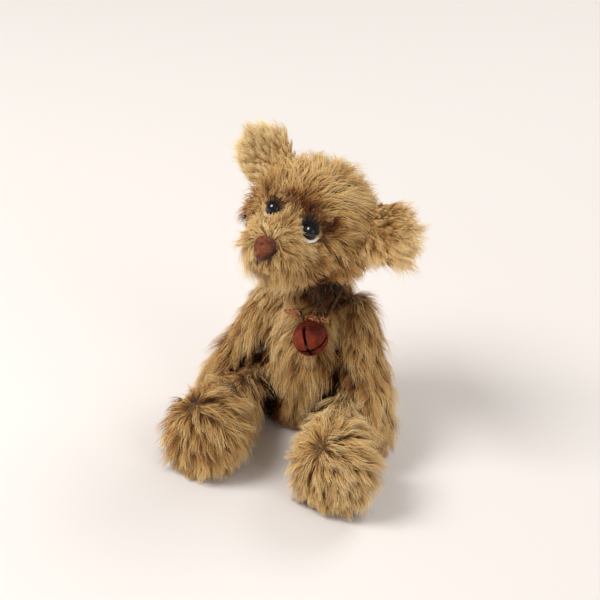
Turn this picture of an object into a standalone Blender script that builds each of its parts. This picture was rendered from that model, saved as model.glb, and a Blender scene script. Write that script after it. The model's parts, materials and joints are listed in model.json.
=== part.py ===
"""A small jointed mohair teddy bear that sits with its head turned and a rusty bell at its neck.

Metres, +Z up. The bear faces -Y, its own left is +X, and the origin is on the flat seat it rests on.
"""

from math import acos, cos, pi, radians, sin, sqrt

import bmesh
import bpy
from mathutils import Matrix, Vector
from mathutils.bvhtree import BVHTree

mm = 0.001
clearance = 0.3 * mm  # between pieces that touch on the real bear
far = 200 * mm  # longer than any piece, for cutters

# Torso
torso_height = 90 * mm
torso_half_width = 21.5 * mm
torso_half_depth = 21 * mm
torso_lean = radians(5)  # towards its own right
# Share of the height, of the half width, of the half depth, and the centre's shift in half depths
torso_shape = (
    (-0.03, 0.66, 0.68, 0.11),
    (0.08, 0.87, 0.98, 0.12),
    (0.28, 0.99, 1.16, 0.04),
    (0.52, 0.99, 1.11, 0.05),
    (0.74, 0.87, 0.96, 0.13),
    (0.93, 0.68, 0.73, 0.11),
    (1.08, 0.55, 0.55, 0.00),
)

# Head
head_half_width = 27.5 * mm
head_half_height = 27.5 * mm
head_half_depth = 27 * mm
muzzle_reach = 45 * mm  # from the middle of the head to the muzzle's end
muzzle_half_width = 14.5 * mm
muzzle_half_height = 11.5 * mm
muzzle_drop = 8 * mm
# Share of the half depth forwards, of the half height down, of the half width and of the half height
skull_shape = (
    (-1.04, -0.06, 0.48, 0.48),
    (-0.64, -0.05, 0.90, 0.90),
    (0.00, -0.02, 1.04, 1.02),
    (0.52, 0.02, 0.96, 0.96),
    (0.90, 0.12, 0.68, 0.68),
)
# Share of the way from the skull to the muzzle's end, and the size there
muzzle_shape = ((0.20, 1.04), (0.70, 0.92), (1.00, 0.56))
head_rise = 24 * mm  # middle of the head above the neck joint
head_forward = 9 * mm  # and in front of it
head_turn = radians(-17)  # towards its own right
head_tip = radians(-13)  # face up
head_tilt = radians(8)  # towards its own left
neck_tilt = radians(-8)  # the joint's axis, towards its own right
neck_stub_wall = 3.6 * mm  # gathered cloth round the disc
neck_stub_height = 16 * mm
neck_stub_flare = 1.12  # its radius inside the head, in radii at the joint

# Ears
ear_half_width = 12.5 * mm
ear_half_height = 12 * mm
ear_half_thickness = 2.8 * mm
ear_cup = 4 * mm  # how far the rim stands before the middle
ear_spread = 35 * mm
ear_height = 17 * mm
ear_back = 3 * mm
ear_splay = radians(56)
ear_facing = radians(-12)

# Eyes, nose and mouth
eye_radius = 4.2 * mm
eye_spread = 11.3 * mm
eye_height = 6.4 * mm
eye_sink = 1.4 * mm
felt_radius = 5.1 * mm
felt_thickness = 0.9 * mm
felt_drop = 0.6 * mm
felt_sink = 0.5 * mm
nose_width = 12.5 * mm
nose_height = 10.5 * mm
nose_share = 0.12  # of the muzzle's half height above its middle
nose_stand = 1.6 * mm
nose_thickness = 4.4 * mm
nose_tip_up = radians(-24)
nose_rounding = 1.1 * mm
# Shares of the nose's width and height, round a triangle that points down
nose_outline = ((-0.5, 0.42), (0, 0.5), (0.5, 0.42), (0.28, -0.08), (0, -0.5), (-0.28, -0.08))
mouth_start = 6.5 * mm  # below the nose's middle height on the muzzle
mouth_length = 5 * mm
mouth_thread = 0.9 * mm

# Arms: share of the length below the pivot, centre outwards and forwards in millimetres, half width, half depth
arm_length = 66 * mm
arm_top = 12.5 * mm
arm_half_width = 7.4 * mm
arm_half_depth = 11 * mm
arm_shape = (
    (-1.00, 5.8, 0, 0.70, 0.60),
    (-0.40, 6.6, 0, 1.14, 0.96),
    (0.16, 7.0, 0, 1.20, 1.02),
    (0.50, 13.0, -2, 0.94, 0.84),
    (0.82, 14.6, -4, 0.98, 0.88),
    (1.03, 14.2, -5, 0.66, 0.60),
)

# Legs, measured standing, in the same way
leg_length = 84 * mm
leg_top = 14.5 * mm
leg_half_width = 7 * mm
leg_half_depth = 14.5 * mm
leg_shape = (
    (-1.00, 5.0, 0, 0.70, 0.62),
    (-0.45, 5.8, 0, 1.02, 0.94),
    (0.12, 6.2, 0, 1.08, 1.02),
    (0.40, 8.2, 0, 1.06, 0.90),
    (0.68, 13.6, -1, 1.86, 1.28),
    (0.89, 16.4, -2, 2.36, 1.50),
    (1.02, 16.4, -2, 1.76, 1.12),
)

# Where the limbs are joined, and how they lie
shoulder_height = 61 * mm
shoulder_slope = radians(16)
shoulder_flattening = 4.8 * mm  # how far the joint presses the torso flat
hip_height = 17.5 * mm
hip_flattening = 3.3 * mm
arm_swing = {"right": radians(12), "left": radians(24)}
leg_swing = {"right": radians(93), "left": radians(90)}

# Disc joints: a hardboard disc and a washer on each side, held by a split pin
neck_disc_radius = 7.8 * mm
shoulder_disc_radius = 6.8 * mm
hip_disc_radius = 7.8 * mm
disc_thickness = 2 * mm
washer_radius = 4 * mm
washer_thickness = 0.8 * mm
pin_wire = 1.1 * mm
pin_eye_radius = 1.5 * mm
pin_curl_radius = 1.3 * mm
pin_curl_angle = radians(215)

# Bell
bell_radius = 9 * mm
bell_wall = 0.6 * mm
bell_lip = 1.2 * mm
bell_slot = 1.5 * mm
bell_slot_end = 2.6 * mm
bell_slot_latitude = radians(-9)
bell_direction = Vector((0.22, -0.93, -0.30))  # the way its slotted end points
bell_turn = radians(60)  # of its slots about that line
bell_loop_wire = 1.1 * mm
bell_loop_radius = 1.8 * mm
bell_loop_foot = 2.4 * mm
pellet_radius = 2 * mm

# Cord
cord_thickness = 1.5 * mm
cord_height = torso_height - 7 * mm  # behind, under the neck joint
cord_front_height = 66 * mm
cord_low_angle = radians(12)  # of its lowest point, to the left of straight ahead
cord_v_half_angle = radians(72)

# Corners of the soft cages, and facets round the small parts
body_corners = 6
head_corners = 8
disc_steps = 18
washer_steps = 10
pocket_steps = 20
bell_steps = 20

SIDES = {"right": -1, "left": 1}


def clear_scene():
    for obj in list(bpy.data.objects):
        bpy.data.objects.remove(obj)


def new_collection(name, hidden=False):
    collection = bpy.data.collections.new(name)
    bpy.context.scene.collection.children.link(collection)
    collection.hide_render = hidden
    return collection


def material(name, colour, roughness, metallic=0.0):
    made = bpy.data.materials.new(name)
    made.use_nodes = True
    shader = made.node_tree.nodes["Principled BSDF"]
    shader.inputs["Base Color"].default_value = (*colour, 1)
    shader.inputs["Roughness"].default_value = roughness
    shader.inputs["Metallic"].default_value = metallic
    made.diffuse_color = (*colour, 1)
    return made


def add_object(name, data, finish=None, place=Matrix(), parent=None):
    """A new object at a world placement, in the bear's collection, or in the cutters' without a finish."""
    obj = bpy.data.objects.new(name, data)
    (bear if finish or data is None else cutters).objects.link(obj)
    if finish:
        data.materials.append(finish)
    elif data is not None:
        obj.hide_render = True
        obj.display_type = "WIRE"
    obj.matrix_world = place
    if parent:
        bpy.context.view_layer.update()
        obj.parent = parent
        obj.matrix_parent_inverse = parent.matrix_world.inverted()
    return obj


def mesh_from(bm, name):
    mesh = bpy.data.meshes.new(name)
    bmesh.ops.recalc_face_normals(bm, faces=bm.faces)
    bm.to_mesh(mesh)
    bm.free()
    mesh.shade_smooth()
    return mesh


def evaluated_mesh(obj):
    bpy.context.view_layer.update()
    graph = bpy.context.evaluated_depsgraph_get()
    return bpy.data.meshes.new_from_object(obj.evaluated_get(graph))


def soft_cage(name, rings, corners):
    """A coarse closed cage through rings of (centre, half width, half depth, pitch), for Subdivision Surface."""
    shrink = (2 + cos(2 * pi / corners)) / 3
    bm = bmesh.new()
    loops = []
    for number, (centre, half_width, half_depth, pitch) in enumerate(rings):
        size = Matrix.Diagonal((half_width / shrink, half_depth / shrink, 1, 1))
        place = Matrix.Translation(centre) @ Matrix.Rotation(pitch, 4, "X") @ size
        end = number in (0, len(rings) - 1)
        made = bmesh.ops.create_circle(bm, cap_ends=end, radius=1, segments=corners, matrix=place)
        loops.append({edge for vert in made["verts"] for edge in vert.link_edges})
    for lower, upper in zip(loops, loops[1:]):
        bmesh.ops.bridge_loops(bm, edges=list(lower | upper))
    return mesh_from(bm, name)


def subdivide(obj, levels=2):
    modifier = obj.modifiers.new("Rounding", "SUBSURF")
    modifier.levels = modifier.render_levels = levels


def cut(obj, cutter):
    modifier = obj.modifiers.new("Cut by " + cutter.name, "BOOLEAN")
    modifier.operation = "DIFFERENCE"
    modifier.object = cutter


def join(obj, other):
    modifier = obj.modifiers.new("Joined with " + other.name, "BOOLEAN")
    modifier.operation = "UNION"
    modifier.object = other


def half_space(name, frame):
    """A cutter that fills everything above the frame's XY plane."""
    bm = bmesh.new()
    bmesh.ops.create_cube(bm, size=far, matrix=Matrix.Translation((0, 0, far / 2)))
    return add_object(name, mesh_from(bm, name), place=frame)


def turned(name, profile, steps, closed=False):
    """A mesh turned about Z from (radius, height) points that run down the outer side."""
    mesh = bpy.data.meshes.new(name)
    count = len(profile)
    edges = [(i, i + 1) for i in range(count - 1)] + ([(count - 1, 0)] if closed else [])
    mesh.from_pydata([(radius, 0, height) for radius, height in profile], edges, [])
    guide = bpy.data.objects.new(name + " profile", mesh)
    bpy.context.scene.collection.objects.link(guide)
    screw = guide.modifiers.new("Turn", "SCREW")
    screw.steps = screw.render_steps = steps
    screw.use_merge_vertices = True
    screw.merge_threshold = 0.00001
    made = evaluated_mesh(guide)
    made.name = name
    bpy.data.objects.remove(guide)
    made.shade_smooth()
    made.set_sharp_from_angle(angle=radians(35))
    return made


def wire(name, points, thickness, closed=False):
    """A round wire through the points, as a welded mesh."""
    curve = bpy.data.curves.new(name, "CURVE")
    curve.dimensions = "3D"
    curve.bevel_depth = thickness / 2
    curve.bevel_resolution = 1
    curve.use_fill_caps = True
    spline = curve.splines.new("POLY")
    spline.points.add(len(points) - 1)
    for point, place in zip(spline.points, points):
        point.co = (*place, 1)
    spline.use_cyclic_u = closed
    guide = bpy.data.objects.new(name + " path", curve)
    bpy.context.scene.collection.objects.link(guide)
    made = evaluated_mesh(guide)
    bpy.data.objects.remove(guide)
    bm = bmesh.new()
    bm.from_mesh(made)
    bmesh.ops.remove_doubles(bm, verts=bm.verts, dist=0.00001)
    return mesh_from(bm, name)


def arc(centre, radius, start, end, count):
    """Points on an arc in a plane, as (x, height) pairs."""
    angles = [start + (end - start) * i / (count - 1) for i in range(count)]
    return [(centre[0] + radius * cos(a), centre[1] + radius * sin(a)) for a in angles]


def ball(name, radius, place, finish=None, segments=14, rings=9, parent=None):
    bm = bmesh.new()
    bmesh.ops.create_uvsphere(bm, u_segments=segments, v_segments=rings, radius=radius)
    return add_object(name, mesh_from(bm, name), finish, place, parent)


def facing(point, normal, upright=Vector((0, 0, 1))):
    """A frame at a point whose Z is the normal and whose X is level."""
    z = normal.normalized()
    x = upright.cross(z).normalized()
    y = z.cross(x)
    return Matrix.Translation(point) @ Matrix((x, y, z)).transposed().to_4x4()


def swollen(obj, name, by):
    """A cutter in the shape of an object, grown all round."""
    mesh = evaluated_mesh(obj)
    grown = [vert.co + vert.normal * by for vert in mesh.vertices]
    for vert, place in zip(mesh.vertices, grown):
        vert.co = place
    return add_object(name, mesh, place=obj.matrix_world.copy())


def skin_of(obj):
    """The object's surface for finding points on it, in its own coordinates."""
    bm = bmesh.new()
    bm.from_mesh(evaluated_mesh(obj))
    return BVHTree.FromBMesh(bm)


def disc_joint(name, frame, disc_radius, inner, outer, inner_label, outer_label, carriers):
    """The discs, washers and split pin of one joint, with the pockets that hold them."""
    inner_parent, outer_parent = carriers
    gap = clearance
    wire_radius = pin_wire / 2
    leg_offset = wire_radius + gap / 3
    hole = leg_offset + wire_radius + gap
    disc_top = -gap
    disc_bottom = disc_top - disc_thickness
    washer_top = disc_bottom - gap
    washer_bottom = washer_top - washer_thickness
    curl_height = washer_bottom - gap - wire_radius - pin_curl_radius
    eye_height = gap - washer_bottom + gap + wire_radius + pin_eye_radius
    curl_reach = leg_offset + 2 * pin_curl_radius + wire_radius
    recess = max(washer_radius, curl_reach) + gap

    def ring(radius, top, thickness):
        return [(radius, top), (radius, top - thickness), (hole, top - thickness), (hole, top)]

    for label, finish, radius, top, thickness in (
        ("disc", hardboard, disc_radius, disc_top, disc_thickness),
        ("washer", steel, washer_radius, washer_top, washer_thickness),
    ):
        steps = disc_steps if label == "disc" else washer_steps
        inside = turned(name, ring(radius, top, thickness), steps, closed=True)
        add_object(f"{name}_{label}_{inner_label}", inside, finish, frame, inner_parent)
        outside = turned(name, ring(radius, gap - top + thickness, thickness), steps, closed=True)
        add_object(f"{name}_{label}_{outer_label}", outside, finish, frame, outer_parent)

    curl = arc((leg_offset + pin_curl_radius, curl_height), pin_curl_radius, pi, pi + pin_curl_angle, 5)
    eye_start = -acos(leg_offset / pin_eye_radius)
    eye = arc((0, eye_height), pin_eye_radius, eye_start, pi - eye_start, 7)
    path = curl[::-1] + eye + [(-x, height) for x, height in curl]
    pin = wire(name + "_pin", [(x, 0, height) for x, height in path], pin_wire)
    add_object(name + "_pin", pin, steel, frame, inner_parent)

    pocket_radius = disc_radius + gap
    depth = -curl_height + pin_curl_radius + wire_radius + gap
    step = -disc_bottom + gap
    inner_pocket = [
        (0, step), (pocket_radius, step), (pocket_radius, -step), (recess, -step), (recess, -depth), (0, -depth)
    ]
    eye_depth = eye_height + pin_eye_radius + wire_radius + gap
    outer_step = step + gap
    outer_pocket = [(0, eye_depth), (recess, eye_depth), (recess, outer_step)]
    outer_pocket += [(pocket_radius, outer_step), (pocket_radius, -outer_step), (0, -outer_step)]
    cut(inner, add_object(name + " inner pocket", turned(name, inner_pocket, pocket_steps), place=frame))
    cut(outer, add_object(name + " outer pocket", turned(name, outer_pocket, pocket_steps), place=frame))


def make_torso():
    rings = []
    for share, wide, deep, shift in torso_shape:
        centre = Vector((0, shift * torso_half_depth, share * torso_height))
        rings.append((centre, wide * torso_half_width, deep * torso_half_depth, 0))
    lean = Matrix.Rotation(-torso_lean, 4, "Y")
    torso = add_object("torso", soft_cage("torso", rings, body_corners), mohair, lean)
    subdivide(torso)
    return torso


def make_limb(name, shape, length, top, half_width, half_depth, side, frame, swing, parent):
    """An arm or a leg that hangs from its pivot, then swings forwards about the joint's axis."""
    rings = []
    for share, out, forward, wide, deep in shape:
        height = -share * (length if share > 0 else top)
        centre = Vector((side * out * mm, forward * mm, height))
        rings.append((centre, wide * half_width, deep * half_depth, 0))
    place = frame @ Matrix.Rotation(-swing, 4, "X")
    limb = add_object(name, soft_cage(name, rings, body_corners), mohair, place, parent)
    subdivide(limb)
    return limb


def limb_joint(torso, height, slope, flattening, side):
    """(frame with Z along the axis, frame with X across the body) of a shoulder or a hip."""
    normal = Vector((cos(slope), 0, sin(slope)))
    right_or_left = Matrix.Diagonal((side, 1, 1, 1))
    out = (support(torso, normal) - flattening - height * normal.z) / normal.x
    pivot = torso.matrix_world @ Vector((side * out, 0, height))
    across = Matrix.Translation(pivot) @ torso.matrix_world.to_3x3().to_4x4() @ Matrix.Rotation(-side * slope, 4, "Y")
    axis = across @ Matrix.Rotation(side * pi / 2, 4, "Y")
    return axis, across


def support(obj, normal):
    """How far the object reaches along a direction."""
    return max(vert.co.dot(normal) for vert in evaluated_mesh(obj).vertices)


def add_empty(name, place):
    empty = add_object(name, None, place=place)
    empty.empty_display_size = 10 * mm
    return empty


def add_limb(torso, kind, side_name):
    side = SIDES[side_name]
    if kind == "arm":
        joint, height, slope, disc_radius = "shoulder", shoulder_height, shoulder_slope, shoulder_disc_radius
        flattening = shoulder_flattening
        size = (arm_shape, arm_length, arm_top, arm_half_width, arm_half_depth)
        swing = arm_swing[side_name]
    else:
        joint, height, slope, disc_radius = "hip", hip_height, 0, hip_disc_radius
        flattening = hip_flattening
        size = (leg_shape, leg_length, leg_top, leg_half_width, leg_half_depth)
        swing = leg_swing[side_name]
    axis, across = limb_joint(torso, height, slope, flattening, side)
    name = f"{joint}_{side_name}"
    pivot = add_empty(name + " axis", axis)
    limb = make_limb(f"{kind}_{side_name}", *size, side, across, swing, pivot)
    cut(torso, half_space(name + " side", axis))
    back = axis @ Matrix.Translation((0, 0, clearance)) @ Matrix.Rotation(pi, 4, "X")
    cut(limb, half_space(name + " inner face", back))
    cut(limb, floor)
    disc_joint(name, axis, disc_radius, torso, limb, "torso", kind, (None, pivot))
    return limb


def make_head(torso):
    """The head and its neck joint. The neck tilts less than the head, which is sewn on it askew."""
    pivot = torso.matrix_world @ Vector((0, torso_shape[-1][3] * torso_half_depth, torso_height))
    axis = Matrix.Translation(pivot) @ Matrix.Rotation(neck_tilt, 4, "Y")
    cut(torso, half_space("neck top", axis))
    neck = add_empty("neck axis", axis)
    turn = Matrix.Rotation(head_tilt, 4, "Y") @ Matrix.Rotation(head_turn, 4, "Z")
    middle = axis @ Vector((0, 0, head_rise)) + turn @ Vector((0, -head_forward, 0))
    place = Matrix.Translation(middle) @ turn @ Matrix.Rotation(head_tip, 4, "X")
    rings = []
    for share, drop, wide, high in skull_shape:
        centre = Vector((0, -share * head_half_depth, -drop * head_half_height))
        rings.append((centre, wide * head_half_width, high * head_half_height, pi / 2))
    for share, size in muzzle_shape:
        centre = Vector((0, -head_half_depth - share * (muzzle_reach - head_half_depth), -muzzle_drop))
        rings.append((centre, size * muzzle_half_width, size * muzzle_half_height, pi / 2))
    head = add_object("head", soft_cage("head", rings, head_corners), mohair, place, neck)
    subdivide(head)
    under = axis @ Matrix.Translation((0, 0, clearance)) @ Matrix.Rotation(pi, 4, "X")
    stub_radius = neck_disc_radius + neck_stub_wall
    stub = [(0, neck_stub_height), (stub_radius * neck_stub_flare, neck_stub_height), (stub_radius, -mm), (0, -mm)]
    skin = skin_of(head)
    near = swollen(head, "head clearance", clearance)
    for side_name in SIDES:
        add_ear(side_name, head, near, neck)
        add_eye(side_name, head, skin, neck)
    add_nose_and_mouth(head, skin, near, neck)
    join(head, add_object("neck stub", turned("neck stub", stub, pocket_steps), place=axis))
    cut(head, half_space("neck underside", under))
    disc_joint("neck", axis, neck_disc_radius, torso, head, "torso", "head", (None, neck))
    return head


def add_ear(side_name, head, near, parent):
    """A flat cupped pad that is sewn to the side of the crown."""
    side = SIDES[side_name]
    bm = bmesh.new()
    bmesh.ops.create_uvsphere(bm, u_segments=14, v_segments=8, radius=1)
    for vert in bm.verts:
        rim = vert.co.x**2 + vert.co.z**2
        vert.co = Vector((vert.co.x * ear_half_width, vert.co.y * ear_half_thickness - rim * ear_cup, vert.co.z * ear_half_height))
    root = Vector((side * ear_spread, ear_back, ear_height))
    lie = Matrix.Rotation(side * ear_splay, 4, "Y") @ Matrix.Rotation(side * ear_facing, 4, "Z")
    name = "ear_" + side_name
    ear = add_object(name, mesh_from(bm, name), mohair, head.matrix_world @ Matrix.Translation(root) @ lie, parent)
    cut(ear, near)


def add_eye(side_name, head, skin, parent):
    """A glass eye in a dished felt disc, in the socket that holds both."""
    side = SIDES[side_name]
    spot, normal, _, _ = skin.ray_cast(Vector((side * eye_spread, -far, eye_height)), Vector((0, 1, 0)))
    look = (normal + Vector((0, -1, 0))).normalized()
    world = head.matrix_world
    place = world @ facing(spot - look * eye_sink, look)
    ball("eye_" + side_name, eye_radius, place, glass, parent=parent)
    round_eye = ball("eye clearance " + side_name, eye_radius + clearance, place)
    felt_place = world @ facing(spot - look * felt_sink - Vector((0, 0, felt_drop)), look)
    half = felt_thickness / 2
    disc = [(0, half), (felt_radius, half), (felt_radius, -half), (0, -half)]
    felt = add_object("eye_felt_" + side_name, turned("eye_felt", disc, disc_steps), white_felt, felt_place, parent)
    cut(felt, round_eye)
    bed = felt_radius + clearance
    seat = [(0, far / 8), (bed, far / 8), (bed, -half - clearance), (0, -half - clearance)]
    cut(head, add_object("felt seat " + side_name, turned("felt_seat", seat, disc_steps), place=felt_place))
    cut(head, round_eye)


def add_nose_and_mouth(head, skin, near, parent):
    world = head.matrix_world
    ahead = Vector((0, 1, 0))
    top = -muzzle_drop + nose_share * muzzle_half_height
    spot, _, _, _ = skin.ray_cast(Vector((0, -far, top)), ahead)
    bm = bmesh.new()
    flat = [bm.verts.new((x * nose_width, 0, z * nose_height)) for x, z in nose_outline]
    face = bm.faces.new(flat)
    made = bmesh.ops.extrude_face_region(bm, geom=[face])
    for vert in made["geom"]:
        if isinstance(vert, bmesh.types.BMVert):
            vert.co.y += nose_thickness
    place = world @ Matrix.Translation(spot - ahead * nose_stand) @ Matrix.Rotation(nose_tip_up, 4, "X")
    nose = add_object("nose", mesh_from(bm, "nose"), rust_thread, place, parent)
    rounding = nose.modifiers.new("Corners", "BEVEL")
    rounding.width = nose_rounding
    rounding.segments = 3
    rounding.limit_method = "ANGLE"
    cut(nose, near)

    start = top - mouth_start
    points = []
    for step in range(5):
        height = start - mouth_length * step / 4
        lip, normal, _, _ = skin.ray_cast(Vector((0, -far, height)), ahead)
        points.append(lip + normal * (mouth_thread / 2 + clearance))
    add_object("mouth_stitch", wire("mouth_stitch", points, mouth_thread), dark_thread, world, parent)


def cord_point(torso, skin, angle):
    """A point of the cord at an angle from the front, lying on the torso: high behind, low in front."""
    nearness = max(0.0, 1 - abs(angle - cord_low_angle) / cord_v_half_angle)
    share = nearness**2 * (3 - 2 * nearness)
    height = cord_height - (cord_height - cord_front_height) * share
    away = Vector((sin(angle), -cos(angle), 0))
    centre = Vector((0, 0, height))
    spot, normal, _, _ = skin.ray_cast(centre + away * far, -away)
    room_for_loop = bell_loop_radius + bell_loop_wire / 2 - cord_thickness / 2
    rise = clearance + cord_thickness / 2 + room_for_loop * share**3
    return torso.matrix_world @ (spot + normal * rise)


def make_cord(torso, skin):
    count = 44
    points = [cord_point(torso, skin, 2 * pi * i / count - pi) for i in range(count)]
    add_object("neck_cord", wire("neck_cord", points, cord_thickness, closed=True), cord_pink)
    return cord_point(torso, skin, cord_low_angle)


def make_bell(hung_from):
    """A jingle bell of two sheet halves, its lower half cut crosswise, hung by a wire loop."""
    wall, gap = bell_wall, clearance
    inner = bell_radius - wall
    nest = inner - gap
    throat = nest - wall
    up = -bell_direction.normalized()
    loop_height = bell_radius + clearance + cord_thickness / 2
    centre = hung_from - up * loop_height
    place = facing(centre, up)

    rim = gap / 2
    shoulder = sqrt(inner**2 - bell_lip**2)
    outer_arc = arc((0, 0), bell_radius, -rim / bell_radius, -pi / 2, 7)
    inner_arc = arc((0, 0), inner, -pi / 2, -acos(shoulder / inner), 6)
    lower = [(nest, bell_lip), (nest, -rim)] + outer_arc + inner_arc + [(throat, -bell_lip), (throat, bell_lip)]
    bell_lower = add_object("bell_lower", turned("bell_lower", lower, bell_steps, closed=True), rusty_tin, place)
    hole = bell_loop_radius + bell_loop_wire / 2 + clearance
    top_angle = acos(hole / bell_radius)
    inner_top = acos(hole / inner)
    upper = arc((0, 0), bell_radius, top_angle, rim / bell_radius, 7) + arc((0, 0), inner, rim / inner, inner_top, 6)
    add_object("bell_upper", turned("bell_upper", upper, bell_steps, closed=True), rusty_tin, place)

    end_height = bell_radius * sin(bell_slot_latitude)
    for turn, label in ((0, "first"), (pi / 2, "second")):
        across = place @ Matrix.Rotation(turn + bell_turn, 4, "Z")
        bm = bmesh.new()
        tall = bell_radius * 2
        size = Matrix.Diagonal((far, bell_slot, tall, 1))
        bmesh.ops.create_cube(bm, size=1, matrix=Matrix.Translation((0, 0, end_height - tall / 2)) @ size)
        cut(bell_lower, add_object(f"bell {label} slot", mesh_from(bm, "slot"), place=across))
        bm = bmesh.new()
        lie = Matrix.Translation((0, 0, end_height)) @ Matrix.Rotation(pi / 2, 4, "Y")
        bmesh.ops.create_cone(
            bm, cap_ends=True, segments=16, radius1=bell_slot_end / 2, radius2=bell_slot_end / 2, depth=far, matrix=lie
        )
        cut(bell_lower, add_object(f"bell {label} slot ends", mesh_from(bm, "ends"), place=across))

    foot_height = sqrt(inner**2 - (bell_loop_radius + bell_loop_foot) ** 2) - clearance - bell_loop_wire / 2
    foot = [(bell_loop_radius + bell_loop_foot, foot_height), (bell_loop_radius, foot_height)]
    loop = foot + arc((0, loop_height), bell_loop_radius, 0, pi, 8) + [(-x, height) for x, height in foot[::-1]]
    staple = wire("bell_loop", [(0, x, height) for x, height in loop], bell_loop_wire)
    add_object("bell_loop", staple, steel, place)
    lowest = Matrix.Translation(centre - Vector((0, 0, throat - pellet_radius - clearance)))
    ball("bell_pellet", pellet_radius, lowest, steel, 14, 8)


clear_scene()
bear = new_collection("Teddy bear")
cutters = new_collection("Cutters", hidden=True)

mohair = material("Tan mohair", (0.42, 0.28, 0.14), 0.95)
glass = material("Black glass", (0.012, 0.010, 0.010), 0.05)
white_felt = material("White felt", (0.78, 0.76, 0.72), 0.9)
rust_thread = material("Rust brown thread", (0.22, 0.075, 0.045), 0.7)
dark_thread = material("Dark brown thread", (0.05, 0.03, 0.02), 0.8)
hardboard = material("Hardboard", (0.24, 0.14, 0.07), 0.8)
steel = material("Steel", (0.55, 0.55, 0.55), 0.35, 1.0)
rusty_tin = material("Rusty tin", (0.28, 0.07, 0.03), 0.6, 0.5)
cord_pink = material("Pinkish brown cord", (0.45, 0.24, 0.18), 0.8)

under_floor = Matrix.Rotation(pi, 4, "X")
floor = half_space("floor", under_floor)
torso = make_torso()
torso_skin = skin_of(torso)
bell_hanging_point = make_cord(torso, torso_skin)
make_bell(bell_hanging_point)
for side_name in SIDES:
    add_limb(torso, "arm", side_name)
    add_limb(torso, "leg", side_name)
make_head(torso)
cut(torso, floor)
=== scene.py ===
"""Looks of a jointed teddy bear: mohair pile, glass eyes, a stitched nose, a rusty bell and a frayed cord.

Metres, +Z up. The bear faces -Y and its own left is +X.
"""

import json
from math import cos, pi, radians, sin

import bmesh
import bpy
import numpy as np
from mathutils import Matrix, Vector, noise
from mathutils.bvhtree import BVHTree


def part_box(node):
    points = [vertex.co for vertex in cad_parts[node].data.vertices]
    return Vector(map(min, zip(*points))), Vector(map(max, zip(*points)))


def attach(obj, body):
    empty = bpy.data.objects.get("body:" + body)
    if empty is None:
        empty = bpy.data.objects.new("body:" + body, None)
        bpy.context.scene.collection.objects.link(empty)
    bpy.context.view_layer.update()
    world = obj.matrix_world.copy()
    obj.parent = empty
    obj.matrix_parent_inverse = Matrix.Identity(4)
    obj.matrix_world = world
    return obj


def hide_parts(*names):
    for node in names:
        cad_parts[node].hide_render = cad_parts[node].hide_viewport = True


mm = 0.001
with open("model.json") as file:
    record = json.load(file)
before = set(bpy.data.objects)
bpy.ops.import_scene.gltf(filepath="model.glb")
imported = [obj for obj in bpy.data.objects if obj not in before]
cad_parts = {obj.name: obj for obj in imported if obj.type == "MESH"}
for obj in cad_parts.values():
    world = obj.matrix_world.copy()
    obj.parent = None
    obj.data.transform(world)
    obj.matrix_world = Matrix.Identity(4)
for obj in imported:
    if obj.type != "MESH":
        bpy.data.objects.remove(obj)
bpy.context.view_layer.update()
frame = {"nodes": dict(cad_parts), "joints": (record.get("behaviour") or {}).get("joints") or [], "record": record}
nodes = frame["nodes"]

# Camera, fitted to the photograph
camera_turn = radians(9.2)  # to the bear's left of straight ahead
camera_rise = radians(34.1)
camera_roll = radians(11.5)
camera_distance = 0.9
sensor_width = 36
picture_width = 600
focal_pixels = 1682
seat_pixel = (304.1, 411.8)  # where the bear's seat shows

# How the head sits, as in the part
head_tip, head_swing, head_nod = [
    Matrix.Rotation(radians(angle), 3, axis) for angle, axis in ((8, "Y"), (-17, "Z"), (-13, "X"))
]
head_turn = head_tip @ head_swing @ head_nod
eye_spread = 11.3  # of each eye from the middle of the face, in millimetres
eye_radius = 4.2 * mm

# Pile: how many strands each part carries
strand_counts = {
    "torso": 24500,
    "head": 24500,
    "ear_right": 7000,
    "ear_left": 7000,
    "arm_right": 10500,
    "arm_left": 10500,
    "leg_right": 16500,
    "leg_left": 16500,
}
strand_width = 0.36 * mm  # real mohair is about 0.03 mm, so each strand stands for a small bunch
strands_in_a_lock = 20
strand_curl = 5.5  # radians of wave from root to tip
strand_wave = 0.07  # height of the wave, as a share of the length
strand_roll = radians(80)  # by which the ribbons differ about their own length
looseness = 0.7  # how far single strands leave the comb
# How far locks leave the comb, how much their strands gather, and how far their ends droop
waywardness = {"torso": 0.6, "head": 0.4, "ear": 0.8, "arm": 0.7, "leg": 0.9}
gathering = {"torso": 0.5, "head": 0.45, "ear": 0.65, "arm": 0.55, "leg": 0.5}
droop = {"torso": 0.25, "head": 0.18, "ear": 0.06, "arm": 0.25, "leg": 0.2}
floor_gap = 0.3 * mm  # between the lowest strands and the floor
floor_spread = 1.5 * mm  # of the lowest strands' ends above that
first_seed, next_seed = 11, 10
swirl_seed = 4

# Most of each part's pile: its length in millimetres, its lift from 0 for flat to 1 for upright,
# and its tone, from black-brown at 0 by russet at 0.25 and tan at 0.5 to straw at 1
usual_pile = {"torso": 13.5, "head": 12.0, "ear": 9.0, "arm": 12.5, "leg": 12.0}
usual_lift = {"torso": 0.36, "head": 0.38, "ear": 0.34, "arm": 0.38, "leg": 0.38}
usual_tone = {"torso": 0.52, "head": 0.60, "ear": 1.0, "arm": 0.52}
# Pile lengths on the head, in millimetres
muzzle_pile, chin_pile, jaw_pile, socket_pile = 4.5, 18.0, 6.0, 2.4
bare_round_eye = 5.2

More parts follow.
